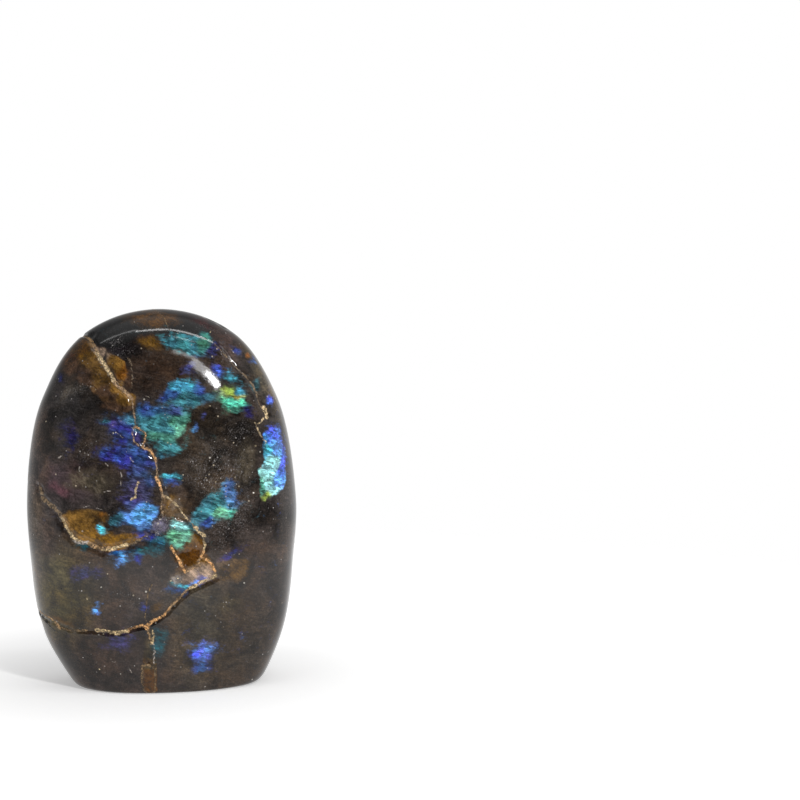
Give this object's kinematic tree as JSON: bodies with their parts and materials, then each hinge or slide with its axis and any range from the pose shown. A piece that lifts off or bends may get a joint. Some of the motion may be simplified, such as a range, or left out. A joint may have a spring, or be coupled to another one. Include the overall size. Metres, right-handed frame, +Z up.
{
  "type": "polished labradorite stone",
  "caption": "Upright polished labradorite pebble with a flat cut base, a rounded rim, gently domed faces and healed fracture grooves.",
  "frame": {"origin": "middle of the footprint box, on the flat cut base", "axes": "+Z up through the stone's height, +Y from the broad front face through the thickness to the back, +X to the right as the front is seen"},
  "size_m": [0.0715, 0.0393, 0.1],
  "materials": {
    "labradorite": "high polish"
  },
  "bodies": {
    "root": {"stone": "labradorite"}
  },
  "joints": []
}
